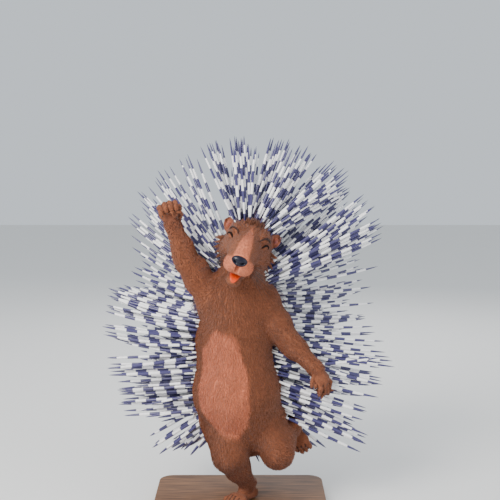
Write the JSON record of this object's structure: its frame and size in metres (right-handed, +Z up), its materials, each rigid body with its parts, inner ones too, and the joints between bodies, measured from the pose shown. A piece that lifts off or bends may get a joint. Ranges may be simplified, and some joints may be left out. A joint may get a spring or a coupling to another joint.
{
  "type": "crested porcupine",
  "caption": "Life-size crested porcupine standing upright on one hind foot on a flat base, one forepaw raised, mouth a little open, and all its banded quills raised in a wide fan.",
  "frame": {"origin": "centre of the base's flat underside", "axes": "+Z up along the body's height, -Y the way the animal faces, +X to the animal's own left"},
  "size_m": [0.7871, 0.575, 1.0112],
  "materials": {
    "fur_brown": "short matte brown fur",
    "fur_tan": "short matte tan fur",
    "quill_mantle": "dark slate bristles with banded slate and white quills",
    "nose_leather": "moist dark leather",
    "tongue": "moist orange red",
    "claw_horn": "dark smooth horn",
    "base_wood": "satin walnut"
  },
  "bodies": {
    "root": {"arm_left_fore": "fur_brown", "arm_left_upper": "fur_brown", "arm_right_fore": "fur_brown", "arm_right_upper": "fur_brown", "ear_left": "fur_brown", "ear_right": "fur_brown", "eyelid_left": "fur_brown", "eyelid_right": "fur_brown", "foot_left": "fur_brown", "foot_left_claw_1": "claw_horn", "foot_left_claw_2": "claw_horn", "foot_left_claw_3": "claw_horn", "foot_left_claw_4": "claw_horn", "foot_left_claw_5": "claw_horn", "foot_right": "fur_brown", "foot_right_claw_1": "claw_horn", "foot_right_claw_2": "claw_horn", "foot_right_claw_3": "claw_horn", "foot_right_claw_4": "claw_horn", "foot_right_claw_5": "claw_horn", "hand_left": "fur_brown", "hand_left_claw_1": "claw_horn", "hand_left_claw_2": "claw_horn", "hand_left_claw_3": "claw_horn", "hand_left_claw_4": "claw_horn", "hand_left_claw_5": "claw_horn", "hand_right": "fur_brown", "hand_right_claw_1": "claw_horn", "hand_right_claw_2": "claw_horn", "hand_right_claw_3": "claw_horn", "hand_right_claw_4": "claw_horn", "hand_right_claw_5": "claw_horn", "head": "fur_brown", "jaw": "fur_tan", "leg_left_shin": "fur_brown", "leg_left_thigh": "fur_brown", "leg_right_shin": "fur_brown", "leg_right_thigh": "fur_brown", "neck": "quill_mantle", "nose": "nose_leather", "stand_base": "base_wood", "tail": "quill_mantle", "tongue": "tongue", "torso": "quill_mantle"}
  },
  "joints": []
}
